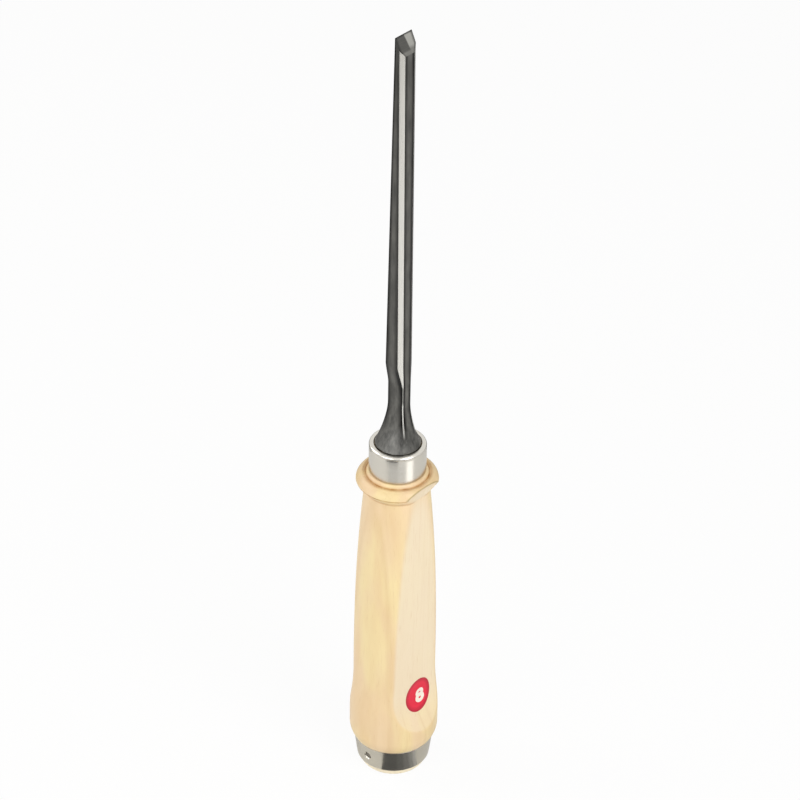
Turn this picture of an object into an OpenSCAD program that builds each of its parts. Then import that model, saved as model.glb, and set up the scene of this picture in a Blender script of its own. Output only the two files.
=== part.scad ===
/* [Blade] */
// Width across the cutting edge
edge_w = 8; // [6:0.5:14]
// Width at the shoulder
root_w = 7.3; // [6:0.1:14]
// Length from the shoulder to the cutting edge
blade_l = 129.9; // [90:0.1:170]
// Thickness at the shoulder
root_t = 6.8; // [5:0.1:7.5]
// Thickness at the cutting edge before it is ground
tip_t = 3.2; // [2.6:0.1:4.8]
// Width of each long bevel at the shoulder
root_bevel = 1.8; // [1:0.1:2.4]
// Width of each long bevel at the cutting edge
tip_bevel = 1.8; // [0.8:0.1:2.4]
// Angle between a long bevel and the front of the blade
bevel_angle = 33; // [20:1:45]
// Angle of the ground cutting edge
grind_angle = 26; // [22:1:38]
// Flat land left along the cutting edge
edge_land = 0.1; // [0.05:0.05:0.3]
// Distance of the flat back from the axis at the shoulder
back_y = 3.1; // [2.6:0.1:3.6]
// Distance of the flat back from the axis at the cutting edge
edge_y = 0.6; // [0.2:0.1:2]

/* [Neck and bolster] */
// Width of the neck
neck_w = 4.4; // [3:0.1:5.4]
// Thickness of the neck
neck_t = 7; // [5.5:0.1:8]
// Width of what the neck keeps of each long bevel
neck_bevel = 0.5; // [0.3:0.1:0.8]
// Height over which the blade narrows to the neck
shoulder_h = 8.5; // [4:0.5:14]
// Rounding of the shoulder's slope, from 0 for a straight one to 1 for a full S-curve
shoulder_ease = 0.3; // [0:0.05:1]
// Height of the straight neck
neck_h = 8.2; // [3:0.1:14]
// Height over which the neck flares into the bolster
flare_h = 17.2; // [12:0.1:26]
// Exponent of the flare, higher for a longer hollow
flare_curve = 1.7; // [1.2:0.1:3]
// Height of the bolster's straight rim
rim_h = 1; // [0.5:0.1:2]

/* [Tang] */
// Length of the tang below the bolster
tang_l = 72; // [40:1:90]
// Width of the tang under the bolster
tang_root = 7; // [5:0.1:8.5]
// Width of the tang at its end
tang_tip = 3.4; // [2.5:0.1:4.5]
// Chamfer along the front corners of the tang
tang_chamfer = 0.5; // [0.3:0.1:0.8]
// Room around the tang in its socket
tang_fit = 0.08; // [0.05:0.01:0.2]

/* [Front ferrule] */
// Outer diameter of the ferrule
ferrule_d = 20.3; // [19:0.1:23]
// Wall of the ferrule
ferrule_wall = 1.8; // [1.3:0.1:2.2]
// Height of the ferrule
ferrule_h = 11.5; // [8:0.1:15]
// Rounding of the ferrule's lip
lip_round = 1; // [0.4:0.1:1.6]
// Depth of the ferrule's mouth above the tenon
mouth_h = 0.8; // [0.3:0.1:1.5]
// Gap around the bolster in the ferrule's mouth
bolster_gap = 0.15; // [0.1:0.05:0.3]

/* [Handle] */
// Height of the wood from the butt to the ferrule's seat
wood_h = 132.2; // [115:0.1:150]
// Outer diameter of the bead under the ferrule
bead_d = 29.3; // [28.4:0.1:32]
// Radius of the bead's rounded top
bead_r = 3.5; // [2.8:0.1:4]
// Depth of the bead's top below the ferrule's seat
bead_drop = 0.8; // [0.2:0.1:1]
// Angle over which the bead's top is rounded
bead_sweep = 70; // [55:1:80]
// Height of the bead's tapered underside
bead_taper_h = 3.4; // [2:0.1:5]
// Width of the cone that rises from the bead's inner groove to the ferrule's seat
groove_w = 0.75; // [0.4:0.05:1]
// Depth of the bead's inner groove below the ferrule's seat
groove_h = 1.3; // [1.1:0.1:1.8]
// Width of the seat's flat rim around the ferrule
seat_rim = 0.3; // [0.1:0.1:0.6]
// Diameter to which the grip would taper at the bead's widest line
throat_d = 22.6; // [21:0.1:24]
// Exponent of the grip's taper, higher for a longer straight part
grip_curve = 2.3; // [1.6:0.1:3]
// Diameter of the grip at its belly
belly_d = 29.9; // [28:0.1:31]
// Height over which the swell eases into the belly
rise_h = 20; // [14:1:28]
// Diameter of the swell above the hoop
swell_d = 32.1; // [31.2:0.1:36]
// Height of the swell at its full diameter
swell_h = 6; // [3:0.5:9]
// Height over which the swell closes on the hoop
fall_h = 5.2; // [4:0.1:9]
// Diameter of the butt below the hoop
butt_d = 24.5; // [23.4:0.1:25.2]
// Height of the butt below the hoop
butt_h = 3.6; // [3.4:0.1:5]
// Rounding of the butt's rim
butt_round = 2.8; // [1.5:0.1:3.3]

/* [Handle flats] */
// Distance of each flat from the axis at the foot of the bead's taper
flat_top_y = 10.9; // [10:0.1:11.2]
// Distance of each flat from the axis where the scoop begins
flat_low_y = 9.9; // [9.5:0.1:11]
// Height of the scoop's start above the swell
scoop_h = 15.8; // [10:0.1:24]
// Radius of the scoop that ends each flat
scoop_r = 30; // [20:1:40]
// Distance of each flat's run-out over the bead from the axis, at the height of the ferrule's seat
bead_flat_y = 13.9; // [12.6:0.1:14.4]

/* [Butt hoop] */
// Outer diameter of the hoop's upper edge
hoop_top_d = 28.8; // [27:0.1:30]
// Outer diameter of the hoop's lower edge
hoop_low_d = 26.4; // [26:0.1:27.4]
// Wall of the hoop
hoop_wall = 1.5; // [1:0.1:2]
// Height of the hoop
hoop_h = 9.4; // [7:0.1:11]
// Chamfer on the outer edges of the hoop
hoop_chamfer = 0.4; // [0.1:0.1:0.6]
// Room between a metal band and the wood inside it
band_fit = 0.05; // [0.02:0.01:0.1]

/* [Hoop brad] */
// Diameter of the brad's shank
brad_d = 1.6; // [1.2:0.1:1.8]
// Diameter of the brad's head
brad_head_d = 2.4; // [2:0.1:3]
// Length of the brad's shank
brad_l = 9; // [5:0.5:10]
// Length of the brad's point
brad_point = 2; // [1:0.5:3]
// Depth of the brad's head below the hoop's face
brad_set = 0.5; // [0.2:0.1:0.7]
// Room around the brad in its holes
brad_fit = 0.05; // [0.02:0.01:0.1]

/* [Hidden] */
$fn = 96;
// How far a cutting shape runs past what it cuts
over = 1;

// Heights along the axis, from the butt up
hoop_z = butt_h;
hoop_top_z = hoop_z + hoop_h;
brad_z = hoop_z + hoop_h / 2;
swell_low_z = hoop_top_z + fall_h;
swell_top_z = swell_low_z + swell_h;
scoop_z = swell_top_z + scoop_h;
belly_z = swell_top_z + rise_h;
bead_z = wood_h - bead_drop - bead_r;
taper_z = bead_z - bead_taper_h;
ferrule_top_z = wood_h + ferrule_h;
seat_z = ferrule_top_z - mouth_h;
rim_z = seat_z + rim_h;
neck_z = rim_z + flare_h;
waist_z = neck_z + neck_h;
shoulder_z = waist_z + shoulder_h;
edge_z = shoulder_z + blade_l;

// Radii and fits
ferrule_r = ferrule_d / 2;
ferrule_bore_r = ferrule_r - ferrule_wall;
tenon_r = ferrule_bore_r - band_fit;
bolster_r = ferrule_bore_r - bolster_gap;
bead_ring_r = bead_d / 2 - bead_r;
throat_r = throat_d / 2;
belly_r = belly_d / 2;
swell_r = swell_d / 2;
butt_r = butt_d / 2;
hoop_top_r = hoop_top_d / 2;
hoop_low_r = hoop_low_d / 2;
hoop_mid_r = (hoop_top_r + hoop_low_r) / 2;
brad_head_z = hoop_mid_r - brad_set;
brad_shank_z = hoop_mid_r - hoop_wall - band_fit;

function mix(a, b, t) = a + (b - a) * t;
function smooth(t) = t * t * (3 - 2 * t);

// Six corners of a blade section, from the back round the right side and the front to the back again
function corners(half_w, back, front, bevel_w, bevel_h) = [
  [half_w, back],
  [half_w, front + bevel_h],
  [half_w - bevel_w, front],
  [bevel_w - half_w, front],
  [-half_w, front + bevel_h],
  [-half_w, back]
];

// Points along the wall, bevel, front, bevel, wall and back of every section, so that all rings match
edge_points = [8, 4, 8, 4, 8, 12];
function outline(c) = [
  for (k = [0 : len(c) - 1], i = [0 : edge_points[k] - 1])
    mix(c[k], c[(k + 1) % len(c)], i / edge_points[k])
];

// Sections of the forging
bevel_slope = tan(bevel_angle);
root_corners = corners(root_w / 2, back_y, back_y - root_t, root_bevel, root_bevel * bevel_slope);
tip_corners = corners(edge_w / 2, edge_y, edge_y - tip_t, tip_bevel, tip_bevel * bevel_slope);
neck_corners = corners(neck_w / 2, back_y, back_y - neck_t, neck_bevel, neck_bevel * bevel_slope);
neck_outline = outline(neck_corners);
function round_outline(r) = [for (p = neck_outline) p * r / norm(p)];
function tang_outline(w) = outline(corners(w / 2, w / 2, -w / 2, tang_chamfer, tang_chamfer));

flare_rings = 14;
shoulder_rings = 8;
function raise(ring, z) = [for (p = ring) [p[0], p[1], z]];

// Rings of the forging from the end of the tang to the cutting edge
blade_rings = [
  raise(tang_outline(tang_tip), seat_z - tang_l),
  raise(tang_outline(tang_root), seat_z),
  raise(round_outline(bolster_r), seat_z),
  for (i = [0 : flare_rings])
    let (t = 1 - i / flare_rings)
    raise(mix(neck_outline, round_outline(bolster_r), pow(t, flare_curve)), neck_z - flare_h * t),
  for (i = [0 : shoulder_rings])
    let (t = i / shoulder_rings, share = mix(t, smooth(t), shoulder_ease))
    raise(outline(mix(neck_corners, root_corners, share)), waist_z + shoulder_h * t),
  raise(outline(tip_corners), edge_z)
];

// The middle of a ring
function centre(ring) = [for (p = ring) 1] * ring / len(ring);

// A closed skin over matching rings that run upwards, each one clockwise as seen from above
module loft(rings) {
  n = len(rings[0]);
  last = len(rings) - 1;
  low_centre = len(rings) * n;
  top_centre = low_centre + 1;
  polyhedron(
    points = [for (ring = rings, p = ring) p, centre(rings[0]), centre(rings[last])],
    faces = [
      for (i = [0 : n - 1])
        let (j = (i + 1) % n)
        each [[low_centre, j, i], [top_centre, last * n + i, last * n + j]],
      for (k = [0 : last - 1], i = [0 : n - 1])
        let (a = k * n + i, b = k * n + (i + 1) % n)
        each [[a, b, b + n], [a, b + n, a + n]]
    ]
  );
}

// Turns a shape drawn in Y and Z into a bar along X
module along_x(length) {
  rotate([90, 0, 90])
    linear_extrude(length, center = true)
      children();
}

// The steel in front of the ground facet at the cutting edge
module grind_cut() {
  slope = tan(grind_angle);
  land_y = edge_y - edge_land;
  drop = (root_t + over) / slope;
  low_y = land_y - drop * slope;
  along_x(edge_w + 2 * over)
    polygon([
      [land_y + over * slope, edge_z + over],
      [low_y, edge_z - drop],
      [low_y, edge_z + over]
    ]);
}

module blade() {
  color("dimgray")
    difference() {
      loft(blade_rings);
      grind_cut();
    }
}

// Radius of the grip between the hoop and the bead
function grip_r(z) =
  z > belly_z ? mix(belly_r, throat_r, pow((z - belly_z) / (bead_z - belly_z), grip_curve))
  : z > swell_top_z ? mix(swell_r, belly_r, smooth((z - swell_top_z) / rise_h))
  : z > swell_low_z ? swell_r
  : mix(swell_r, hoop_top_r, pow((swell_low_z - z) / fall_h, 2));

// Half outline of the turned wood
module handle_profile() {
  seat_r = hoop_wall + band_fit;
  round_steps = 8;
  fall_steps = 12;
  rise_steps = 16;
  grip_steps = 36;
  bead_steps = 18;
  rim_r = ferrule_r + seat_rim;
  polygon([
    [0, 0],
    for (i = [0 : round_steps])
      let (a = 90 * i / round_steps)
      [butt_r - butt_round * (1 - sin(a)), butt_round * (1 - cos(a))],
    [butt_r, hoop_z],
    [hoop_low_r - seat_r, hoop_z],
    [hoop_top_r - seat_r, hoop_top_z],
    for (i = [0 : fall_steps - 1])
      let (z = hoop_top_z + fall_h * i / fall_steps)
      [grip_r(z), z],
    [swell_r, swell_low_z],
    for (i = [0 : rise_steps])
      let (z = swell_top_z + rise_h * i / rise_steps)
      [grip_r(z), z],
    for (i = [1 : grip_steps])
      let (z = mix(belly_z, taper_z, i / grip_steps))
      [grip_r(z), z],
    for (i = [0 : bead_steps])
      let (a = bead_sweep * i / bead_steps)
      [bead_ring_r + bead_r * cos(a), bead_z + bead_r * sin(a)],
    [rim_r + groove_w, wood_h - groove_h],
    [rim_r, wood_h],
    [tenon_r, wood_h],
    [tenon_r, seat_z],
    [0, seat_z]
  ]);
}

// Tapered square socket for the tang
module tang_socket() {
  low_z = seat_z - tang_l - over;
  grow = (tang_root - tang_tip) / tang_l / 2;
  low_w = tang_tip / 2 + tang_fit - grow * over;
  top_w = tang_root / 2 + tang_fit + grow * over;
  top_z = seat_z + over;
  side = [[-low_w, low_z], [low_w, low_z], [top_w, top_z], [-top_w, top_z]];
  intersection() {
    along_x(2 * tang_root)
      polygon(side);
    rotate(90)
      along_x(2 * tang_root)
        polygon(side);
  }
}

// What is planed off the front of the grip, run out over the bead above and scooped out below
module flat_cut() {
  far_y = -swell_d;
  top_z = wood_h + over;
  along_x(2 * swell_d) {
    polygon([
      [-flat_low_y, scoop_z],
      [-flat_top_y, taper_z],
      [-bead_flat_y, wood_h],
      [-bead_flat_y, top_z],
      [far_y, top_z],
      [far_y, scoop_z]
    ]);
    translate([-flat_low_y - scoop_r, scoop_z])
      circle(scoop_r);
  }
}

// Places a shape that points along +Z at the brad, pointing out of the hoop
module at_brad() {
  translate([0, 0, brad_z])
    rotate([0, -90, 0])
      children();
}

module handle() {
  shank_end = brad_shank_z - brad_l - brad_point;
  color("wheat")
    difference() {
      rotate_extrude()
        handle_profile();
      tang_socket();
      flat_cut();
      mirror([0, 1, 0])
        flat_cut();
      at_brad()
        translate([0, 0, shank_end])
          cylinder(h = hoop_top_r - shank_end, r = brad_d / 2 + brad_fit);
    }
}

module front_ferrule() {
  color("silver")
    translate([0, 0, wood_h])
      rotate_extrude()
        translate([ferrule_bore_r, 0]) {
          square([ferrule_wall, ferrule_h - lip_round]);
          square([ferrule_wall - lip_round, ferrule_h]);
          translate([ferrule_wall - lip_round, ferrule_h - lip_round])
            circle(lip_round);
        }
}

module butt_hoop() {
  color("silver")
    difference() {
      rotate_extrude()
        polygon([
          [hoop_low_r - hoop_wall, hoop_z],
          [hoop_low_r - hoop_chamfer, hoop_z],
          [hoop_low_r, hoop_z + hoop_chamfer],
          [hoop_top_r, hoop_top_z - hoop_chamfer],
          [hoop_top_r - hoop_chamfer, hoop_top_z],
          [hoop_top_r - hoop_wall, hoop_top_z]
        ]);
      at_brad()
        cylinder(h = hoop_top_r + over, r = brad_head_d / 2 + brad_fit);
    }
}

module hoop_brad() {
  color("gray")
    at_brad() {
      translate([0, 0, brad_shank_z])
        cylinder(h = brad_head_z - brad_shank_z, r = brad_head_d / 2);
      translate([0, 0, brad_shank_z - brad_l])
        cylinder(h = brad_l, r = brad_d / 2);
      translate([0, 0, brad_shank_z - brad_l - brad_point])
        cylinder(h = brad_point, r1 = 0, r2 = brad_d / 2);
    }
}

blade();
handle();
front_ferrule();
butt_hoop();
hoop_brad();
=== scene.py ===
import math
import bmesh
import bpy
from mathutils import Matrix, Vector


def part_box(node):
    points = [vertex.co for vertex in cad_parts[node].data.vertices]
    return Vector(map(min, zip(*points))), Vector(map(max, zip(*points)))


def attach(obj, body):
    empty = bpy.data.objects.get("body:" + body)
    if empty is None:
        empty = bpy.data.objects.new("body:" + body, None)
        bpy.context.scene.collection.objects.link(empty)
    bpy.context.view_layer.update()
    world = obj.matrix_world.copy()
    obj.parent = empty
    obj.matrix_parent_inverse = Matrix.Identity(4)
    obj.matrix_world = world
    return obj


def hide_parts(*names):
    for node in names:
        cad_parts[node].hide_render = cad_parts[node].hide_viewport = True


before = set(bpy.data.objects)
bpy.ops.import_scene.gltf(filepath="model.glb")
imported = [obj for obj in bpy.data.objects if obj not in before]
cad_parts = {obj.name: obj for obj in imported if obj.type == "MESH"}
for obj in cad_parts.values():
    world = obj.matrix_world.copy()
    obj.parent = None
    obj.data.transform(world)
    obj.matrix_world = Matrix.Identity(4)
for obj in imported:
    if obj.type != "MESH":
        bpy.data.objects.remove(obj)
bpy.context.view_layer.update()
mm = 0.001  # sizes below are in millimetres, Blender works in metres
weld = 0.002 * mm  # points nearer than this are merged
print("frame loaded:", sorted(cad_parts))


def nodeSpan(node):
    # lowest and highest corner of a CAD node in millimetres
    low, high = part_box(node)
    return Vector(low) / mm, Vector(high) / mm


hoopLow, hoopHigh = nodeSpan("butt_hoop")
ferruleLow, ferruleHigh = nodeSpan("front_ferrule")
bladeLow, bladeHigh = nodeSpan("blade")
bradLow, bradHigh = nodeSpan("hoop_brad")
handleTop = nodeSpan("handle")[1].z


def mix(a, b, t):
    return a + (b - a) * t


def clamp(t):
    return min(max(t, 0.0), 1.0)


def smoothStep(t):
    t = clamp(t)
    return t * t * (3 - 2 * t)


# Node helpers

colourMix = {"data_type": "RGBA"}  # a colour mix takes its share at socket 0 and its colours at 6 and 7
evenRange = {"interpolation_type": "LINEAR"}
softRange = {"interpolation_type": "SMOOTHSTEP"}


def linear(hexColour):
    # sRGB hex to the linear values that a shader works in
    parts = [int(hexColour[i:i + 2], 16) / 255 for i in (1, 3, 5)]
    return [c / 12.92 if c <= 0.04045 else ((c + 0.055) / 1.055) ** 2.4 for c in parts] + [1.0]


def twoTone(darkHex, paleHex):
    # the two colours of a colour mix
    return {6: linear(darkHex), 7: linear(paleHex)}


def between(low, high, start=0.0, end=1.0):
    # the limits of a range, which turns low to high into start to end
    return {"From Min": low, "From Max": high, "To Min": start, "To Max": end}


def addNode(tree, kind, settings=None, inputs=None, links=None, out=None):
    # adds a node and gives back the named output, or else the first one in use
    node = tree.nodes.new("ShaderNode" + kind)
    for name, value in (settings or {}).items():
        setattr(node, name, value)
    for socket, value in (inputs or {}).items():
        node.inputs[socket].default_value = value
    for socket, source in (links or {}).items():
        tree.links.new(source, node.inputs[socket])
    return node.outputs[out] if out else next(output for output in node.outputs if output.enabled)


def startMaterial(name, values=None):
    material = bpy.data.materials.new(name)
    material.use_nodes = True
    tree = material.node_tree
    shader = tree.nodes["Principled BSDF"]
    for socket, value in (values or {}).items():
        shader.inputs[socket].default_value = value
    return material, tree, shader


# Modelling helpers

def editAll():
    bpy.ops.object.mode_set(mode="EDIT")
    bpy.ops.mesh.select_all(action="SELECT")


def weldAll():
    # merges doubled points, turns the faces outwards and leaves edit mode
    bpy.ops.mesh.select_all(action="SELECT")
    bpy.ops.mesh.remove_doubles(threshold=weld)
    bpy.ops.mesh.normals_make_consistent(inside=False)
    bpy.ops.object.mode_set(mode="OBJECT")


def nameLast(name):
    # the piece that a primitive has just made
    piece = bpy.context.object
    piece.name = name
    piece.data.name = name
    return piece


def startPoint(name):
    # a plane merged to one point, from which a profile is drawn in edit mode
    bpy.ops.object.select_all(action="DESELECT")
    bpy.ops.mesh.primitive_plane_add(size=mm)
    piece = nameLast(name)
    editAll()
    bpy.ops.mesh.merge(type="CENTER")
    return piece


def startDisc(name, points, radius, place=(0, 0, 0)):
    bpy.ops.object.select_all(action="DESELECT")
    bpy.ops.mesh.primitive_circle_add(vertices=points, radius=radius * mm, location=Vector(place) * mm,
                                      fill_type="NGON")
    bpy.ops.object.transform_apply(location=True, rotation=False, scale=False)
    return nameLast(name)


def turnOnLathe(name, profile, steps):
    # draws a half profile of (radius, height) by extruding, then spins it about the axis
    piece = startPoint(name)
    last = Vector((0, 0, 0))
    for i, (radius, height) in enumerate(profile):
        point = Vector((radius, 0, height)) * mm
        if i == 0:
            bpy.ops.transform.translate(value=point - last)
        else:
            bpy.ops.mesh.extrude_region_move(TRANSFORM_OT_translate={"value": point - last})
        last = point
    bpy.ops.mesh.select_all(action="SELECT")
    bpy.ops.mesh.remove_doubles(threshold=weld / 2)  # closes a profile that ends where it starts
    bpy.ops.mesh.spin(steps=steps, angle=2 * math.pi, center=(0, 0, 0), axis=(0, 0, 1))
    weldAll()
    return piece


def pickOnly(piece):
    bpy.ops.object.select_all(action="DESELECT")
    piece.select_set(True)
    bpy.context.view_layer.objects.active = piece


def applyModifier(piece, kind, settings):
    pickOnly(piece)
    bpy.ops.object.modifier_add(type=kind)
    modifier = piece.modifiers[-1]
    for name, value in settings.items():
        setattr(modifier, name, value)
    bpy.ops.object.modifier_apply(modifier=modifier.name)


def combine(piece, other, operation):
    # cuts the other shape out of the piece or joins it on, and removes it
    applyModifier(piece, "BOOLEAN", {"operation": operation, "solver": "EXACT", "object": other})
    bpy.data.objects.remove(other)


def smoothPiece(piece, degrees):
    # smooth shading up to an angle, with large faces kept flat to the eye
    pickOnly(piece)
    bpy.ops.object.shade_smooth_by_angle(angle=math.radians(degrees))
    applyModifier(piece, "WEIGHTED_NORMAL", {"keep_sharp": True})


def layOutwards(piece, x, z):
    # takes a piece that was turned along +Z and lays it to look out of the hoop at -X
    piece.data.transform(Matrix.Translation(Vector((x, 0, z)) * mm) @ Matrix.Rotation(-math.pi / 2, 4, "Y"))


def arcPoints(middle, radius, start, end, steps):
    angles = [math.radians(mix(start, end, i / steps)) for i in range(steps + 1)]
    return [(middle[0] + radius * math.cos(a), middle[1] + radius * math.sin(a)) for a in angles]


def roundCorner(corner, radius, start, steps):
    # quarter round inside a corner of a profile, from an angle in degrees
    aim = math.radians(start + 45)
    x, z = corner
    middle = (x - math.copysign(radius, math.cos(aim)), z - math.copysign(radius, math.sin(aim)))
    return arcPoints(middle, radius, start, start + 90, steps)


# Camera at the photograph's viewing angle

cameraSet = {
    "target": (0.0, 0.0, 155.0),  # mm, middle of the chisel
    "distance": 1400.0,  # mm
    "azimuth": -47.5,  # degrees from the bevelled front
    "elevation": 35.9,
    "roll": 0.92,
    "picture": 800,  # pixels across
    "focal": 4035.0,  # pixels
    "middle": (398.35, 415.3),  # pixel at which the target is seen
    "sensor": 36.0,  # mm
}


def placeCamera():
    own = cameraSet
    azimuth, elevation = math.radians(own["azimuth"]), math.radians(own["elevation"])
    level = math.cos(elevation)
    back = Vector((math.sin(azimuth) * level, -math.cos(azimuth) * level, math.sin(elevation)))
    bpy.ops.object.camera_add()
    camera = bpy.context.object
    camera.name = "photoCamera"
    turn = Matrix.Rotation(azimuth, 4, "Z") @ Matrix.Rotation(math.pi / 2 - elevation, 4, "X")
    turn = turn @ Matrix.Rotation(math.radians(own["roll"]), 4, "Z")
    place = (Vector(own["target"]) + back * own["distance"]) * mm
    camera.matrix_world = Matrix.Translation(place) @ turn
    camera.data.sensor_width = own["sensor"]
    camera.data.lens = own["focal"] / own["picture"] * own["sensor"]
    camera.data.shift_x = (own["picture"] / 2 - own["middle"][0]) / own["picture"]
    camera.data.shift_y = (own["middle"][1] - own["picture"] / 2) / own["picture"]
    bpy.context.scene.camera = camera


placeCamera()
print("camera placed")


# Pale floor, white surroundings, soft lamps and cards

stageSet = {
    "floorSize": 8.0,  # m
    "floorColour": "#F4F3F0",
    "whiteShare": 0.93,  # how much of the floor's white doesn't take the shadow
    "fill": 0.42,  # even light from all round
    "lamps": [  # place in mm, size in mm, power in W
        ("keyLamp", (-100.0, -760.0, 700.0), 620.0, 4.9),
        ("sideLamp", (-820.0, -40.0, 560.0), 700.0, 2.3),
        ("backLamp", (-380.0, 700.0, 600.0), 600.0, 2.6),
    ],
    # glowing cards over the floor that only shiny surfaces see, painted reflections and no lamps:
    # angles from the camera's side, near and far radius in mm, brightness
    "cards": [
        ("hoopCardLeft", -22.0, 8.0, 14.0, 60.0, 0.14),
        ("hoopCardMiddle", 8.0, 22.0, 14.0, 60.0, 0.18),
        ("hoopCardRight", 22.0, 35.0, 14.0, 60.0, 0.25),
        ("hoopCardFar", 35.0, 44.0, 14.0, 60.0, 0.37),
        ("hoopCardEnd", 44.0, 52.0, 14.0, 60.0, 0.56),
        ("ferruleGlow", 36.0, 62.0, 140.0, 260.0, 1.75),
        ("ferruleCard", -34.0, 30.0, 150.0, 232.0, 0.82),
        ("lipCard", -36.0, 32.0, 540.0, 1500.0, 0.1),
        ("bevelCard", 142.0, 180.0, 215.0, 520.0, 0.1),
        ("cornerCard", -42.0, 2.0, 235.0, 520.0, 0.12),
        ("backCard", -178.0, -120.0, 235.0, 520.0, 0.12),
    ],
    "cardHeight": 0.6, "cardSteps": 24,
}


def setWorld():
    # the camera, shiny and clear surfaces see plain white all round, and the even light is weaker
    world = bpy.data.worlds.new("whiteSurroundings")
    bpy.context.scene.world = world
    world.use_nodes = True
    tree = world.node_tree
    rays = addNode(tree, "LightPath").node.outputs
    seen = rays["Is Camera Ray"]
    for ray in ("Is Glossy Ray", "Is Transmission Ray"):
        seen = addNode(tree, "Math", {"operation": "MAXIMUM"}, links={0: seen, 1: rays[ray]})
    strength = addNode(tree, "MapRange", evenRange, between(0, 1, stageSet["fill"], 1), {"Value": seen})
    background = tree.nodes["Background"]
    background.inputs["Color"].default_value = linear("#FFFFFF")
    tree.links.new(strength, background.inputs["Strength"])


def layFloor():
    own = stageSet
    bpy.ops.object.select_all(action="DESELECT")
    bpy.ops.mesh.primitive_plane_add(size=own["floorSize"])
    floor = nameLast("floor")
    # painted board, matt and near white
    look = {"Base Color": linear(own["floorColour"]), "Roughness": 0.9, "Specular IOR Level": 0.0}
    material, tree, shader = startMaterial("mattWhiteBoard", look)
    share = addNode(tree, "LightPath", out="Is Camera Ray")
    share = addNode(tree, "Math", {"operation": "MULTIPLY"}, {1: own["whiteShare"]}, {0: share})
    white = addNode(tree, "Emission", inputs={"Color": linear("#FFFFFF"), "Strength": 1.0})
    blend = addNode(tree, "MixShader", links={0: share, 1: shader.outputs[0], 2: white})
    tree.links.new(blend, tree.nodes["Material Output"].inputs["Surface"])
    floor.data.materials.append(material)


def hangLamps():
    for name, place, size, power in stageSet["lamps"]:
        bpy.ops.object.light_add(type="AREA", location=Vector(place) * mm)
        lamp = bpy.context.object
        lamp.name = name
        aim = Vector(cameraSet["target"]) - Vector(place)
        lamp.rotation_euler = aim.to_track_quat("-Z", "Y").to_euler()
        lamp.data.shape = "DISK"
        lamp.data.size = size * mm
        lamp.data.energy = power
        lamp.visible_camera = False


def layCards():
    lift = Vector((0, 0, stageSet["cardHeight"])) * mm
    for name, start, end, near, far, brightness in stageSet["cards"]:
        card = startPoint(name)
        # from the near to the far end of the first side, then round the chisel's axis to the other side
        first = math.radians(cameraSet["azimuth"] + start)
        side = Vector((math.sin(first), -math.cos(first), 0)) * mm
        bpy.ops.transform.translate(value=side * near + lift)
        bpy.ops.mesh.extrude_region_move(TRANSFORM_OT_translate={"value": side * (far - near)})
        bpy.ops.mesh.select_all(action="SELECT")
        bpy.ops.mesh.spin(steps=stageSet["cardSteps"], angle=math.radians(end - start),
                          center=(0, 0, 0), axis=(0, 0, -1))
        bpy.ops.object.mode_set(mode="OBJECT")
        # glowing card seen only in reflections: a painted reflection of even brightness
        material, tree, shader = startMaterial(name + "ReflectedGlow")
        glow = addNode(tree, "Emission", inputs={"Color": linear("#FFFFFF"), "Strength": brightness})
        tree.links.new(glow, tree.nodes["Material Output"].inputs["Surface"])
        card.data.materials.append(material)
        card.visible_camera = False
        card.visible_diffuse = False
        card.visible_transmission = False
        card.visible_shadow = False


bpy.context.scene.view_settings.view_transform = "Standard"
setWorld()
layFloor()
hangLamps()
layCards()
print("stage dressed")


# Front ferrule: steel tube with a rounded lip

ferruleSet = {
    "steps": 160,  # facets round the axis
    "smooth": 40,  # degrees up to which the shading is smooth
    "wall": 1.8, "boreRound": 0.15, "footRound": 0.25, "lipRound": 1.0, "mouthRound": 0.35,
    # shallow groove under the lip: how far below it, and its height, its depth and where it is deepest
    "grooveDrop": 0.1, "grooveHeight": 0.75, "grooveDepth": 0.12, "grooveFloor": 0.16,
    "steel": ("#CFCBC1", "#DCD8D0"),  # dark and pale of its lines
}


def buildFerrule():
    own = ferruleSet
    outer, inner = ferruleHigh.x, ferruleHigh.x - own["wall"]
    low, top = ferruleLow.z, ferruleHigh.z
    grooveTop = top - own["lipRound"] - own["grooveDrop"]
    points = roundCorner((inner, low), own["boreRound"], 180, 3)
    points += roundCorner((outer, low), own["footRound"], -90, 5)
    points += [(outer, mix(low, top, t)) for t in (0.3, 0.6)]
    points += [(outer, grooveTop - own["grooveHeight"])]
    points += [(outer - own["grooveDepth"], grooveTop - own["grooveFloor"]), (outer, grooveTop)]
    points += roundCorner((outer, top), own["lipRound"], 0, 12)
    points += roundCorner((inner, top), own["mouthRound"], 90, 6)
    points.append(points[0])
    piece = turnOnLathe("ferruleTube", points, own["steps"])
    smoothPiece(piece, own["smooth"])
    return piece


# Butt hoop: tapered steel ring with the brad's hole

hoopSet = {
    "steps": 160, "smooth": 40,
    "wall": 1.5, "boreBreak": 0.1, "edgeRound": 0.3, "topRound": 0.08,
    "taper": 1.2,  # how much smaller its lower radius is
    "holeRadius": 1.25, "sinkRadius": 1.85, "sinkDepth": 0.55,  # brad's hole and its sunk edge
    "drillSteps": 48, "drillDepth": 4.0, "drillRise": 0.1, "drillClear": 3.0,
    "steel": ("#B8B4A9", "#CAC6BC"),
}


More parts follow.
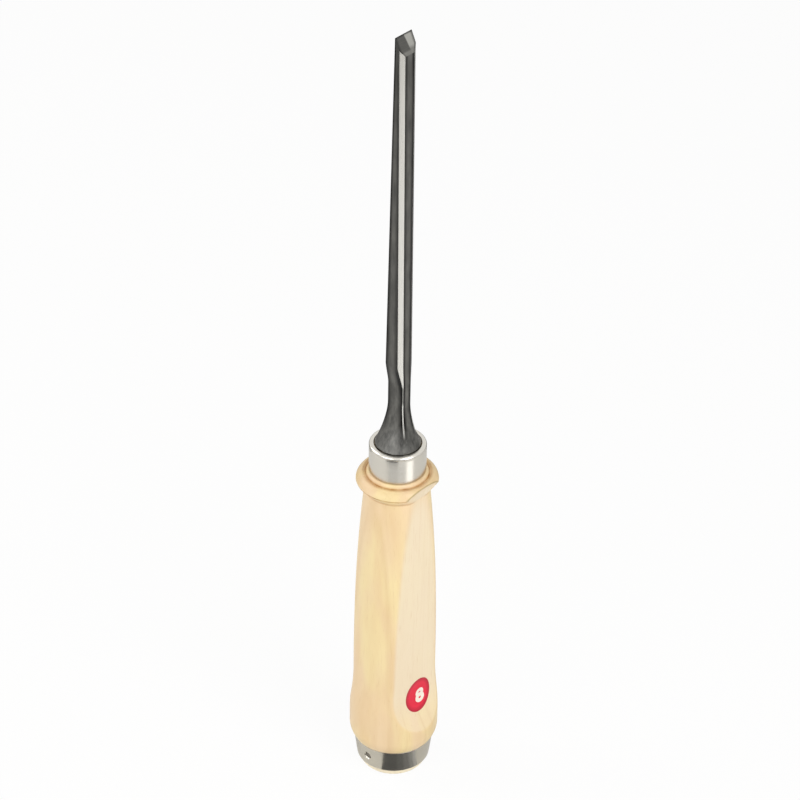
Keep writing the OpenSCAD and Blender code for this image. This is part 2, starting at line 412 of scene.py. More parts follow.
def buildHoop():
    own = hoopSet
    low, top = hoopLow.z, hoopHigh.z
    topRadius = hoopHigh.x
    lowRadius = topRadius - own["taper"]
    wall, bore = own["wall"], own["boreBreak"]
    points = [(lowRadius - wall, low + bore), (lowRadius - wall + bore, low)]
    points += roundCorner((lowRadius, low), own["edgeRound"], -90, 6)
    points += [(mix(lowRadius, topRadius, t), mix(low, top, t)) for t in (0.2, 0.4, 0.6, 0.8)]
    points += roundCorner((topRadius, top), own["topRound"], 0, 4)
    points += [(topRadius - wall + bore, top), (topRadius - wall, top - bore)]
    points.append(points[0])
    piece = turnOnLathe("hoopRing", points, own["steps"])
    # the brad's hole, drilled and sunk at its edge
    cutter = [(0.0, -own["drillDepth"]), (own["holeRadius"], -own["drillDepth"])]
    cutter += [(own["holeRadius"], -own["sinkDepth"]), (own["sinkRadius"], own["drillRise"])]
    cutter += [(own["sinkRadius"], own["drillClear"]), (0.0, own["drillClear"])]
    drill = turnOnLathe("drill", cutter, own["drillSteps"])
    layOutwards(drill, -mix(lowRadius, topRadius, 0.5), (low + top) / 2)
    combine(piece, drill, "DIFFERENCE")
    editAll()
    bpy.ops.mesh.remove_doubles(threshold=weld)
    bpy.ops.mesh.dissolve_degenerate(threshold=weld)
    bpy.ops.object.mode_set(mode="OBJECT")
    smoothPiece(piece, own["smooth"])
    return piece


# Brad: a small nail set into the hoop's hole

bradSet = {
    "steps": 40, "smooth": 40,
    "radius": 0.8, "shank": 9.0, "point": 2.0, "headRadius": 1.2, "headBreak": 0.1, "crown": 0.22,
    "steel": ("#5E5A54", "#9A968D"),
}


def buildBrad():
    own = bradSet
    length = bradHigh.x - bradLow.x
    headHeight = length - own["shank"] - own["point"]
    points = [(0.0, -length), (own["radius"], own["point"] - length), (own["radius"], -headHeight)]
    points += [(own["headRadius"] - own["headBreak"], -headHeight)]
    points += [(own["headRadius"], own["headBreak"] - headHeight)]
    for degrees in range(0, 90, 9):
        angle = math.radians(degrees)
        points.append((own["headRadius"] * math.cos(angle), own["crown"] * (math.sin(angle) - 1)))
    points.append((0.0, 0.0))
    piece = turnOnLathe("hoopNail", points, own["steps"])
    layOutwards(piece, bradLow.x, (bradLow.z + bradHigh.z) / 2)
    smoothPiece(piece, own["smooth"])
    return piece


# Turned handle: butt, hoop seat, swell, grip with two flats, bead and tenon

handleSet = {
    "steps": 240, "smooth": 32,
    "buttRadius": 12.25, "buttRound": 2.8, "buttBreak": 0.12, "buttRings": (3.0, 6.0),
    "seatGap": 0.05,  # room between the wood and its two metal bands
    "hoopStep": ((0.25, 0.0), (0.05, 0.08)),  # wood over the hoop: in from its radius, up from its top
    "fall": 5.2, "swell": 6.0, "rise": 20.0,  # heights from the hoop up, one on the other
    "swellRadius": 16.05, "bellyRadius": 14.95, "throatRadius": 11.3, "gripCurve": 2.3,
    "firstRing": 0.3, "lastRing": 0.5, "fineStep": 0.45, "gripStep": 0.75,  # spacing of the grip's rings
    "footLine": (0.25, 0.06),  # faint turned line at the foot of the bead's taper: height and depth
    "beadRadius": 14.65, "beadRound": 3.5, "beadDrop": 0.8, "beadSweep": (4, 70), "beadTaper": 3.4,
    "scoreDepth": 0.26, "scoreSpan": (-0.04, 0.06),  # scored line along the bead's lower edge
    "seatRim": 0.3, "grooveWidth": 0.75, "grooveDepth": 1.3,  # groove and cone between bead and ferrule
    "grooveFloor": ((0.35, 0.1), (0.08, -0.08), (-0.08, 0.0)),  # its rounding: out from its line, up from it
    "flatTop": 10.9, "flatLow": 9.9, "beadFlat": 13.9, "scoopRise": 15.8, "scoopRadius": 30.0,
    "flatSoftness": 0.7, "creaseSoftness": 0.12,  # rounding of the flats' edges, on the grip and the bead
    "flatReach": 6.0, "flatDeepest": 3.0,  # what lies nearer the axis, or deeper than this, stays as turned
    # planed look: fading width and strength, each at the scoop and up the grip, and how far it spreads
    "planedWidth": (0.6, 2.0), "planedShare": (0.55, 1.0), "planedSpread": 0.25,
    # painted shade along the flats' crease over the bead: its width here, its tone and strength below
    "creaseShadeWidth": 0.5,
    "socketRadius": 4.9, "socketTip": 2.6, "socketRoom": 0.5,
    "wood": ("#EED2AA", "#F2DCA8"),  # pinkish and golden, with the colours below laid over them
    "deepWood": "#E6C592", "planedWood": "#F6E7CB", "ringWood": "#DDBD8A", "fibreWood": "#D2AC74",
    # below: painted light on the butt, varnish with painted shade in the grooves, painted shade along the
    # crease
    "buttLightTone": "#FBF3DC", "pooledVarnishShade": "#A9722B", "creaseShadeTone": "#9C8A52",
    "planedPale": 0.72, "buttLightShare": 0.75, "buttLightEdge": 0.4, "creaseShadeStrength": 0.8,
}


def handleHeights():
    own = handleSet
    at = {"swellLow": hoopHigh.z + own["fall"], "woodTop": ferruleLow.z}
    at["swellTop"] = at["swellLow"] + own["swell"]
    at["scoop"] = at["swellTop"] + own["scoopRise"]
    at["belly"] = at["swellTop"] + own["rise"]
    at["bead"] = at["woodTop"] - own["beadDrop"] - own["beadRound"]
    at["taper"] = at["bead"] - own["beadTaper"]
    at["groove"] = at["woodTop"] - own["grooveDepth"]
    return at


handleAt = handleHeights()
grooveRadius = ferruleHigh.x + handleSet["seatRim"] + handleSet["grooveWidth"]


def gripRadius(z):
    own, at = handleSet, handleAt
    if z > at["belly"]:
        t = (z - at["belly"]) / (at["bead"] - at["belly"])
        return mix(own["bellyRadius"], own["throatRadius"], t ** own["gripCurve"])
    if z > at["swellTop"]:
        return mix(own["swellRadius"], own["bellyRadius"], smoothStep((z - at["swellTop"]) / own["rise"]))
    if z > at["swellLow"]:
        return own["swellRadius"]
    return mix(own["swellRadius"], hoopHigh.x, ((at["swellLow"] - z) / own["fall"]) ** 2)


def flatDepth(z):
    # how far from the axis the planed flat, its scoop or its run-out over the bead lies at a height
    own, at = handleSet, handleAt
    outside = own["swellRadius"] * 2
    drop = at["scoop"] - z
    if z > at["woodTop"] or drop >= own["scoopRadius"]:
        return outside
    if drop > 0:
        return own["flatLow"] + own["scoopRadius"] - math.sqrt(own["scoopRadius"] ** 2 - drop ** 2)
    if z < at["taper"]:
        return mix(own["flatLow"], own["flatTop"], (z - at["scoop"]) / (at["taper"] - at["scoop"]))
    return mix(own["flatTop"], own["beadFlat"], (z - at["taper"]) / (at["woodTop"] - at["taper"]))


def softMin(a, b, width):
    share = max(width - abs(a - b), 0.0) / width
    return min(a, b) - share * share * width / 4


def handleProfile():
    own, at = handleSet, handleAt
    butt, cut = own["buttRadius"], own["buttBreak"]
    points = [(0.0, 0.0)] + [(radius, 0.0) for radius in own["buttRings"]]
    points += roundCorner((butt, 0.0), own["buttRound"], -90, 14)
    points += [(butt, hoopLow.z - cut), (butt - cut, hoopLow.z)]
    # seat of the hoop, a hair inside its bore
    seat = hoopHigh.x - hoopSet["wall"] - own["seatGap"]
    points += [(seat - hoopSet["taper"], hoopLow.z), (seat, hoopHigh.z)]
    points += [(hoopHigh.x - inwards, hoopHigh.z + up) for inwards, up in own["hoopStep"]]
    z = hoopHigh.z + own["firstRing"]
    while z < at["taper"] - own["lastRing"]:
        points.append((gripRadius(z), z))
        z += own["fineStep"] if z < at["scoop"] else own["gripStep"]
    # tapered underside of the bead, from a faint turned line to the scored line at its edge
    foot, bead = gripRadius(at["taper"]), own["beadRadius"]
    lineHeight, lineDepth = own["footLine"]
    lineLow = at["taper"] - lineHeight
    points += [(gripRadius(lineLow), lineLow), (foot - lineDepth, at["taper"])]
    for t in (0.08, 0.2, 0.4, 0.6, 0.8, 0.94):
        points.append((mix(foot, bead, t), mix(at["taper"], at["bead"], t)))
    points += [(bead - own["scoreDepth"], at["bead"] + up) for up in own["scoreSpan"]]
    # rounded top of the bead, the groove behind it and the cone up to the ferrule
    points += arcPoints((bead - own["beadRound"], at["bead"]), own["beadRound"], *own["beadSweep"], 40)
    points += [(grooveRadius + out, at["groove"] + up) for out, up in own["grooveFloor"]]
    rim = ferruleHigh.x + own["seatRim"]
    for t in (0.25, 0.5, 0.75, 0.95):
        points.append((mix(grooveRadius, rim, t), mix(at["groove"], at["woodTop"], t)))
    points += [(ferruleHigh.x - own["seatGap"], at["woodTop"])]
    # tenon under the ferrule and the socket of the tang
    tenon = ferruleHigh.x - ferruleSet["wall"] - own["seatGap"]
    points += [(tenon, at["woodTop"]), (tenon, handleTop), (own["socketRadius"], handleTop)]
    socketEnd = bladeLow.z - own["socketRoom"]
    return points + [(own["socketTip"], socketEnd), (0.0, socketEnd)]


def planeFlats(piece):
    # two flats, with marks for the finish: the wood they were planed out of, and painted shade along their
    # crease over the bead
    own, at = handleSet, handleAt
    planed = piece.data.attributes.new("planed", "FLOAT", "POINT")
    creaseShade = piece.data.attributes.new("creaseShade", "FLOAT", "POINT")
    for vertex in piece.data.vertices:
        x, y, z = vertex.co / mm
        turned = gripRadius(min(max(z, hoopHigh.z), at["bead"]))
        if abs(y) < own["flatReach"] or math.hypot(x, y) < turned - own["flatDeepest"]:
            continue
        onBead = z > at["bead"]
        removed = abs(y) - flatDepth(z)
        depth = softMin(abs(y), flatDepth(z), own["creaseSoftness"] if onBead else own["flatSoftness"])
        vertex.co.y = math.copysign(depth * mm, y)
        width = mix(*own["planedWidth"], smoothStep((z - at["swellTop"]) / own["rise"]))
        share = mix(*own["planedShare"], smoothStep((z - at["swellTop"]) / own["scoopRise"]))
        planed.data[vertex.index].value = smoothStep(removed / width + own["planedSpread"]) * share
        if onBead:
            creaseShade.data[vertex.index].value = max(1 - abs(removed) / own["creaseShadeWidth"], 0.0)
    piece.data.update()


def buildHandle():
    piece = turnOnLathe("turnedHandle", handleProfile(), handleSet["steps"])
    planeFlats(piece)
    smoothPiece(piece, handleSet["smooth"])
    return piece


# Blade: forged from the tang through the bolster, neck and shoulder to the ground edge

bladeSet = {
    "edgeWidth": 8.0, "rootWidth": 7.3, "rootThick": 6.8, "tipThick": 3.2, "bevel": 1.8, "bevelAngle": 33.0,
    "grindAngle": 26.0, "edgeLand": 0.1, "backY": 3.1, "edgeY": 0.6, "length": 129.9,
    "shoulder": 8.5, "shoulderEase": 0.3,
    "neck": 8.2, "neckWidth": 4.4, "neckThick": 7.0, "neckBevel": 0.5,
    "flare": 17.2, "flareCurve": 1.7, "rim": 1.0, "rimBreak": 0.15, "rimTop": 0.1,
    "tangRoot": 7.0, "tangTip": 3.4, "tangChamfer": 0.5, "tangLength": 72.0,
    "flareSteps": 24, "shoulderSteps": 14, "bladeSteps": 8, "smooth": 30,
    # rounding of the section's corners, the most it takes of an edge, and the faces of both
    "cornerRound": 0.24, "cornerShare": 0.4, "cornerSteps": 3, "edgePoints": (6, 3, 6, 3, 6, 8),
    # finish by the section's corners and edges, counted from the back on the +X side round the front
    "bevelEdges": (1, 3), "brightEnd": 0.8,  # edges that are ground bright, and how far down the flare
    # painted shade along each corner, on the blade and at its tip, its share beside the corner, and where it
    # ends
    "edgeShadeStrength": ((1.0, 1.0), (0.7, 0.3), (1.0, 1.0), (0.72, 0.72), (0.7, 0.3), (1.0, 1.0)),
    "edgeShadeFall": 0.5, "edgeShadeEnd": 0.75, "edgeShadeFade": 6.0,
    # painted shade in the corner below the shoulder, from a corner towards its wall
    "cornerShade": 0.8, "cornerShadeWalls": {1: -1, 4: 1}, "cornerShadeMiddle": 0.4, "cornerShadeReach": 0.75,
    # side walls: how dark, how much more at the tip, and over how far
    "wallEdges": (0, 4), "wallDark": 0.16, "tipDark": 0.42, "tipReach": 45.0, "tipFade": 36.0,
    # forged steel: dark and pale scale, its lines, the painted shade at its corners, and the hammer's
    # blotches below the shoulder
    "forged": ("#4A4A48", "#777672"), "forgedLine": "#706F6C", "edgeShadeTone": "#161616",
    "hammered": ("#3C3C3B", "#8A8984"), "hammeredShare": 0.38, "hammeredSpan": (3.0, 9.0),
    # ground steel: dark and pale lines, the part of the neck that was missed, and the end on the flare
    "ground": ("#C8C7C2", "#EFEDE8"), "missed": "#8C8B87", "missedMiddle": 0.42, "missedSpan": (2.6, 4.8),
    "unground": "#5C5B58", "groundEnd": 0.72, "groundFade": 3.0,
    # facet: dark and pale lines, and the honed half, from a line by its point, across and below the edge
    "facet": ("#484846", "#6A6965"), "honed": "#A5A49E", "honedPoint": (-0.02, 0.83),
    "honedSide": (0.9876, 0.157), "honedFade": 0.5, "wornSpan": (5.1, 3.9), "wornShare": 0.3,
    # painted highlight along the facet's foot, and painted shade along the rest of its outline
    "footHighlight": "#85847F", "outlineShading": "#343432",
}


def bladeHeights():
    own = bladeSet
    at = {"edge": bladeHigh.z, "shoulder": bladeHigh.z - own["length"]}
    at["waist"] = at["shoulder"] - own["shoulder"]
    at["neck"] = at["waist"] - own["neck"]
    at["rim"] = at["neck"] - own["flare"]
    at["seat"] = at["rim"] - own["rim"]
    return at


bladeAt = bladeHeights()
bevelSlope = math.tan(math.radians(bladeSet["bevelAngle"]))
grindSlope = math.tan(math.radians(bladeSet["grindAngle"]))


def bladeCorners(width, back, thick, bevelWidth, slope):
    side, front = width / 2, back - thick
    bevelY = front + bevelWidth * slope
    half = [(side, back), (side, bevelY), (side - bevelWidth, front)]
    return [Vector(p) for p in half] + [Vector((-x, y)) for x, y in reversed(half)]


def roundedOutline(corners):
    # the section with each corner rounded, always with the same number of points
    own, count = bladeSet, len(corners)
    shares = [i / own["cornerSteps"] for i in range(own["cornerSteps"] + 1)]
    arcs = []
    for k, corner in enumerate(corners):
        before, after = corners[k - 1] - corner, corners[(k + 1) % count] - corner
        shorter = min(before.length, after.length)
        reach = min(own["cornerRound"], shorter * own["cornerShare"])
        a = corner + before.normalized() * reach
        b = corner + after.normalized() * reach
        arcs.append([a * (1 - t) ** 2 + corner * 2 * t * (1 - t) + b * t * t for t in shares])
    points = []
    for k, inner in enumerate(own["edgePoints"]):
        a, b = arcs[k][-1], arcs[(k + 1) % count][0]
        points += arcs[k] + [a.lerp(b, i / inner) for i in range(1, inner)]
    return points


def tangOutline(width):
    return roundedOutline(bladeCorners(width, width / 2, width, bladeSet["tangChamfer"], 1.0))


def bladeRings():
    own, at = bladeSet, bladeAt
    root = bladeCorners(own["rootWidth"], own["backY"], own["rootThick"], own["bevel"], bevelSlope)
    tip = bladeCorners(own["edgeWidth"], own["edgeY"], own["tipThick"], own["bevel"], bevelSlope)
    neck = bladeCorners(own["neckWidth"], own["backY"], own["neckThick"], own["neckBevel"], bevelSlope)
    neckLine = roundedOutline(neck)
    baseLine = [p.normalized() * bladeHigh.x for p in neckLine]
    brokenLine = [p * (1 - own["rimBreak"] / bladeHigh.x) for p in baseLine]
    rings = [(tangOutline(own["tangTip"]), at["seat"] - own["tangLength"])]
    rings += [(tangOutline(own["tangRoot"]), at["seat"]), (brokenLine, at["seat"])]
    rings += [(baseLine, at["seat"] + own["rimBreak"]), (baseLine, at["rim"] - own["rimTop"])]
    for i in range(own["flareSteps"] + 1):
        t = 1 - i / own["flareSteps"]
        line = [a.lerp(b, t ** own["flareCurve"]) for a, b in zip(neckLine, baseLine)]
        rings.append((line, at["neck"] - own["flare"] * t))
    rings.append((neckLine, mix(at["neck"], at["waist"], 0.5)))
    for i in range(own["shoulderSteps"] + 1):
        t = i / own["shoulderSteps"]
        corners = [a.lerp(b, mix(t, smoothStep(t), own["shoulderEase"])) for a, b in zip(neck, root)]
        rings.append((roundedOutline(corners), at["waist"] + own["shoulder"] * t))
    for i in range(1, own["bladeSteps"] + 1):
        t = i / own["bladeSteps"]
        corners = [a.lerp(b, t) for a, b in zip(root, tip)]
        rings.append((roundedOutline(corners), mix(at["shoulder"], at["edge"], t)))
    return [[Vector((p.x, p.y, z)) * mm for p in line] for line, z in rings]


def bladePlaces():
    # by place in the section: painted shade along the corners, the painted shade below the shoulder that
    # adds to it, bright bevels and dark walls
    own = bladeSet
    rim, cornerShade, bright, walls, start = {}, {}, set(), set(), 0
    count = sum(own["edgePoints"]) + own["cornerSteps"] * len(own["edgePoints"])
    for edge, inner in enumerate(own["edgePoints"]):
        end = start + own["cornerSteps"]
        strength = own["edgeShadeStrength"][edge]
        rim.update({i: (*strength, 1.0) for i in range(start, end + 1)})
        rim.update({i: (*strength, own["edgeShadeFall"]) for i in ((start - 1) % count, end + 1)})
        if edge in own["cornerShadeWalls"]:
            towards = own["cornerShadeWalls"][edge]
            corner = end if towards > 0 else start
            # painted shade below the shoulder, on the two points beside the corner
            cornerShade.update({corner + towards * away: own["cornerShade"] / away for away in (1, 2)})
        if edge in own["bevelEdges"]:
            bright.update(range(end - 1, end + inner + 2))  # with a face of the rounding on either side
        if edge in own["wallEdges"]:
            walls.update(range(end + 1, end + inner))
        start = end + inner
    return rim, cornerShade, bright, walls


def forgeSections():
    # leaves the blade in edit mode, each of its points with its place in the section
    rings = bladeRings()
    piece = startDisc("forgedBlade", len(rings[0]), 1.0)
    places = piece.data.attributes.new("place", "INT", "POINT")
    for i, point in enumerate(rings[0]):
        piece.data.vertices[i].co = point
        places.data[i].value = i
    # each extrusion takes the cap up to the next section
    editAll()
    for ring in rings[1:]:
        bpy.ops.mesh.extrude_region_move(TRANSFORM_OT_translate={"value": (0, 0, 0)})
        shape = bmesh.from_edit_mesh(piece.data)
        place = shape.verts.layers.int["place"]
        for vertex in [v for v in shape.verts if v.select]:
            vertex.co = ring[vertex[place]]
        bmesh.update_edit_mesh(piece.data)
    return piece


def markFinish(piece):
    # painted shade along the corners that fades out on the bolster, dark walls, and bright bevels down to
    # the bolster's ridge
    own, at = bladeSet, bladeAt
    edgeShadeMarks, cornerShade, bright, walls = bladePlaces()
    shape = bmesh.from_edit_mesh(piece.data)
    # the rim attribute holds painted shade along the corners and below the shoulder, and the darker walls
    rim = shape.verts.layers.float.new("rim")
    place = shape.verts.layers.int["place"]
    edgeShadeEnd = at["neck"] - own["flare"] * own["edgeShadeEnd"]
    brightEnd = at["neck"] - own["flare"] * own["brightEnd"]
    middle = at["waist"] + own["shoulder"] * own["cornerShadeMiddle"]
    for vertex in shape.verts:
        z, spot = vertex.co.z / mm, vertex[place]
        fade = clamp((z - edgeShadeEnd) / own["edgeShadeFade"])
        beside = smoothStep(1 - abs(z - middle) / (own["shoulder"] * own["cornerShadeReach"]))
        above = clamp((z - middle) / own["shoulder"])
        tipward = smoothStep((z - at["edge"] + own["tipReach"]) / own["tipFade"])
        low, high, fall = edgeShadeMarks.get(spot, (0.0, 0.0, 0.0))
        dark = mix(1.0, mix(low, high, tipward), above) * fall * fade + cornerShade.get(spot, 0.0) * beside
        if spot in walls:
            dark += (own["wallDark"] + own["tipDark"] * tipward) * above
        vertex[rim] = min(dark, 1.0)
    for face in shape.faces:
        if all(v[place] in bright for v in face.verts) and face.calc_center_median().z > brightEnd * mm:
            face.material_index = 1
    bmesh.update_edit_mesh(piece.data)


def grindFacet(piece):
    # the facet at the cutting edge, found again by its slope
    own = bladeSet
    facet = Vector((0, -1, grindSlope)).normalized()
    bpy.ops.mesh.select_all(action="SELECT")
    bpy.ops.mesh.bisect(plane_co=(0, (own["edgeY"] - own["edgeLand"]) * mm, bladeHigh.z * mm),
                        plane_no=facet, use_fill=True, clear_outer=True)
    weldAll()
    sameSlope = 0.9995  # cosine of the angle up to which a face is the facet's
    lowest = bladeHigh.z - own["rootThick"] / grindSlope
    for face in piece.data.polygons:
        if face.normal.dot(facet) > sameSlope and face.center.z / mm > lowest:
            face.material_index = 2


def buildBlade():
    piece = forgeSections()
    markFinish(piece)
    grindFacet(piece)
    piece.data.attributes.remove(piece.data.attributes["place"])
    return piece


# Size dot: red disc with the cutting width in millimetres on the front flat

dotSet = {
    "radius": 6.25, "tall": 0.99, "lean": 0.12, "middle": (1.34, 34.55),  # its middle across and up the flat
    "lift": 0.03, "thick": 0.08,  # above the wood
    "points": 96, "insets": 6, "smooth": 40,
    "numeralShift": 1.0, "numeralWide": 1.25, "numeralPoints": 64,  # mm across, and width against height
    "rings": [(0.3, 1.62, 0.42), (-1.6, 1.8, 0.48)],  # the 8: each ring's middle, outer and inner radius
    "ink": ("#E82B46", "#E0223E"), "numeralInk": ("#F6E8D8", "#FBF2E6"),  # where it is thin and where full
    "edgeInk": "#A81E32", "edgeSpan": (0.72, 0.96), "edgeShare": 0.75,  # pressed edge, in radii
}


def thicken(piece):
    applyModifier(piece, "SOLIDIFY", {"thickness": dotSet["thick"] * mm, "offset": -1.0})


def layOnFlat(piece, lift):
    # stands the flat shape up to face -Y and lets it follow the flat and its scoop
    own = dotSet
    for vertex in piece.data.vertices:
        x, y, z = vertex.co / mm
        up = y * own["tall"]
        height = own["middle"][1] + up
        across = own["middle"][0] + x + up * own["lean"]
        vertex.co = Vector((across, -flatDepth(height) - lift - z, height)) * mm
    piece.data.update()
    smoothPiece(piece, own["smooth"])


def buildDot():
    own = dotSet
    piece = startDisc("sizeDot", own["points"], own["radius"])
    editAll()
    for _ in range(own["insets"]):
        bpy.ops.mesh.inset(thickness=own["radius"] / (own["insets"] + 1) * mm)
    bpy.ops.object.mode_set(mode="OBJECT")
    thicken(piece)
    layOnFlat(piece, own["lift"])
    return piece


def buildNumeral():
    own = dotSet
    rings = []
    for height, outer, inner in own["rings"]:
        ring = startDisc("sizeNumeral", own["numeralPoints"], outer, (own["numeralShift"], height, 0))
        editAll()
        for _ in range(2):  # two bands, with the face inside them taken out
            bpy.ops.mesh.inset(thickness=(outer - inner) / 2 * mm)
        bpy.ops.mesh.delete(type="FACE")
        bpy.ops.object.mode_set(mode="OBJECT")
        thicken(ring)
        rings.append(ring)
    piece, other = rings
    combine(piece, other, "UNION")
    for vertex in piece.data.vertices:
        vertex.co.x = mix(own["numeralShift"] * mm, vertex.co.x, own["numeralWide"])
    layOnFlat(piece, own["lift"] * 2)
    return piece


built = []
for build in (buildHandle, buildFerrule, buildHoop, buildBrad, buildBlade, buildDot, buildNumeral):
    piece = build()
    print(piece.name, "built:", len(piece.data.polygons), "faces")
    built.append(piece)
handle, ferrule, hoop, brad, blade, dot, numeral = built


# Materials

def marksOfSize(tree, place, size, look, turn=(0, 0, 0)):
    # uneven marks, drawn out to a real size in millimetres along each axis
    scale = [1 / (length * mm) for length in size]
    stretched = addNode(tree, "Mapping", inputs={"Rotation": turn, "Scale": scale}, links={"Vector": place})
    return addNode(tree, "TexNoise", inputs={"Scale": 1.0, **look}, links={"Vector": stretched})


def finishSurface(tree, shader, colour, marks, rough=None, relief=None):
    # the marks drive the roughness between two values, and a relief by its strength and depth in mm
    tree.links.new(colour, shader.inputs["Base Color"])
    if rough:
        spread = addNode(tree, "MapRange", evenRange, between(0, 1, *rough), {"Value": marks})
        tree.links.new(spread, shader.inputs["Roughness"])
    if relief:
        strength, depth = relief
        bump = addNode(tree, "Bump", None, {"Strength": strength, "Distance": depth * mm}, {"Height": marks})
        tree.links.new(bump, shader.inputs["Normal"])


def forgedSteel():
    # drop-forged tool steel, linished lengthwise and left dark: deep grey with fine streaks along the blade
    own, at = bladeSet, bladeAt
    material, tree, shader = startMaterial("forgedToolSteel", {"Metallic": 1.0})
    place = addNode(tree, "TexCoord", out="Object")
    height = addNode(tree, "SeparateXYZ", links={0: place}, out="Z")
    # scale stains about 3 mm wide and 9 mm long
    stains = marksOfSize(tree, place, (3, 3, 9), {"Detail": 4.0, "Roughness": 0.6})
    stains = addNode(tree, "MapRange", evenRange, between(0.34, 0.68), {"Value": stains})
    colour = addNode(tree, "Mix", colourMix, twoTone(*own["forged"]), {0: stains})
    # linishing lines 0.25 mm wide, coarser than real ones to show
    lines = marksOfSize(tree, place, (0.25, 0.25, 14), {"Detail": 3.0, "Roughness": 0.6})
    lineTone = addNode(tree, "MapRange", evenRange, between(0.35, 0.7), {"Value": lines})
    colour = addNode(tree, "Mix", colourMix, {7: linear(own["forgedLine"])}, {0: lineTone, 6: colour})
    # the bolster and the neck keep the hammer's blotches, 1.8 mm wide and drawn out along them
    top, low = [(at["shoulder"] - drop) * mm for drop in own["hammeredSpan"]]
    span = between(top, low, 0, own["hammeredShare"])
    hammered = addNode(tree, "MapRange", evenRange, span, {"Value": height})
    blotches = marksOfSize(tree, place, (1.8, 1.8, 6), {"Detail": 3.0, "Roughness": 0.55})
    blotches = addNode(tree, "MapRange", evenRange, between(0.36, 0.66), {"Value": blotches})
    blotched = addNode(tree, "Mix", colourMix, twoTone(*own["hammered"]), {0: blotches})
    colour = addNode(tree, "Mix", colourMix, links={0: hammered, 6: colour, 7: blotched})
    # painted shade along the corners and below the shoulder, with the darker walls, read from the rim
    # attribute
    rim = addNode(tree, "Attribute", {"attribute_name": "rim"}, out="Fac")
    colour = addNode(tree, "Mix", colourMix, {7: linear(own["edgeShadeTone"])}, {0: rim, 6: colour})
    finishSurface(tree, shader, colour, lines, (0.3, 0.46), (0.25, 0.02))
    return material


def groundSteel():
    # tool steel ground bright on a belt: pale grey with streaks along the bevel
    own, at = bladeSet, bladeAt
    material, tree, shader = startMaterial("groundToolSteel", {"Metallic": 1.0})
    place = addNode(tree, "TexCoord", out="Object")
    height = addNode(tree, "SeparateXYZ", links={0: place}, out="Z")
    # belt lines 0.2 mm wide, coarser than real ones to show
    lines = marksOfSize(tree, place, (0.2, 0.2, 22), {"Detail": 3.0, "Roughness": 0.6})
    colour = addNode(tree, "Mix", colourMix, twoTone(*own["ground"]), {0: lines})
    # the belt hardly touched the ridge along the neck, and left off on the bolster
    middle = (at["waist"] - own["neck"] * own["missedMiddle"]) * mm
    away = addNode(tree, "Math", {"operation": "SUBTRACT"}, {1: middle}, {0: height})
    away = addNode(tree, "Math", {"operation": "ABSOLUTE"}, links={0: away})
    near, far = [reach * mm for reach in own["missedSpan"]]
    touched = addNode(tree, "MapRange", softRange, between(near, far), {"Value": away})
    low = at["neck"] - own["flare"] * own["groundEnd"]
    span = between(low * mm, (low + own["groundFade"]) * mm)
    reached = addNode(tree, "MapRange", evenRange, span, {"Value": height})
    for share, tint in ((touched, "missed"), (reached, "unground")):
        colour = addNode(tree, "Mix", colourMix, {6: linear(own[tint])}, {0: share, 7: colour})
    finishSurface(tree, shader, colour, lines, (0.22, 0.36), (0.2, 0.02))
    return material


def paintFacetOutline(tree, place, colour):
    # painted highlight along the facet's foot and painted shade inside the rest of its outline, drawn wide
    # to show, as lines in X and Z:
    # outward side, a point, how far inside it starts and is full, strength and tint
    own, edgeZ = bladeSet, bladeAt["edge"]
    halfWidth = own["edgeWidth"] / 2
    footZ = edgeZ - (own["tipThick"] - own["edgeLand"]) / grindSlope
    bevelZ = footZ + own["bevel"] * bevelSlope / grindSlope
    bevelSide = Vector((bevelZ - footZ, -own["bevel"])).normalized()
    outline = [((0.0, -1.0), (0.0, footZ), 1.4, 0.9, 0.8, own["footHighlight"]),
               ((0.0, 1.0), (0.0, edgeZ), 0.62, 0.25, 0.85, own["outlineShading"]),
               (bevelSide, (halfWidth, bevelZ), 0.62, 0.25, 0.5, own["outlineShading"]),
               ((1.0, 0.0), (halfWidth, 0.0), 1.25, 0.4, 0.7, own["outlineShading"])]
    folded = addNode(tree, "VectorMath", {"operation": "ABSOLUTE"}, links={0: place})
    for (sideX, sideZ), (pointX, pointZ), begin, full, strength, tint in outline:
        reach = sideX * pointX + sideZ * pointZ
        out = addNode(tree, "VectorMath", {"operation": "DOT_PRODUCT"}, {1: (sideX, 0, sideZ)}, {0: folded})
        span = between((reach - begin) * mm, (reach - full) * mm, 0, strength)
        outlineShading = addNode(tree, "MapRange", evenRange, span, {"Value": out})
        colour = addNode(tree, "Mix", colourMix, {7: linear(tint)}, {0: outlineShading, 6: colour})
    return colour


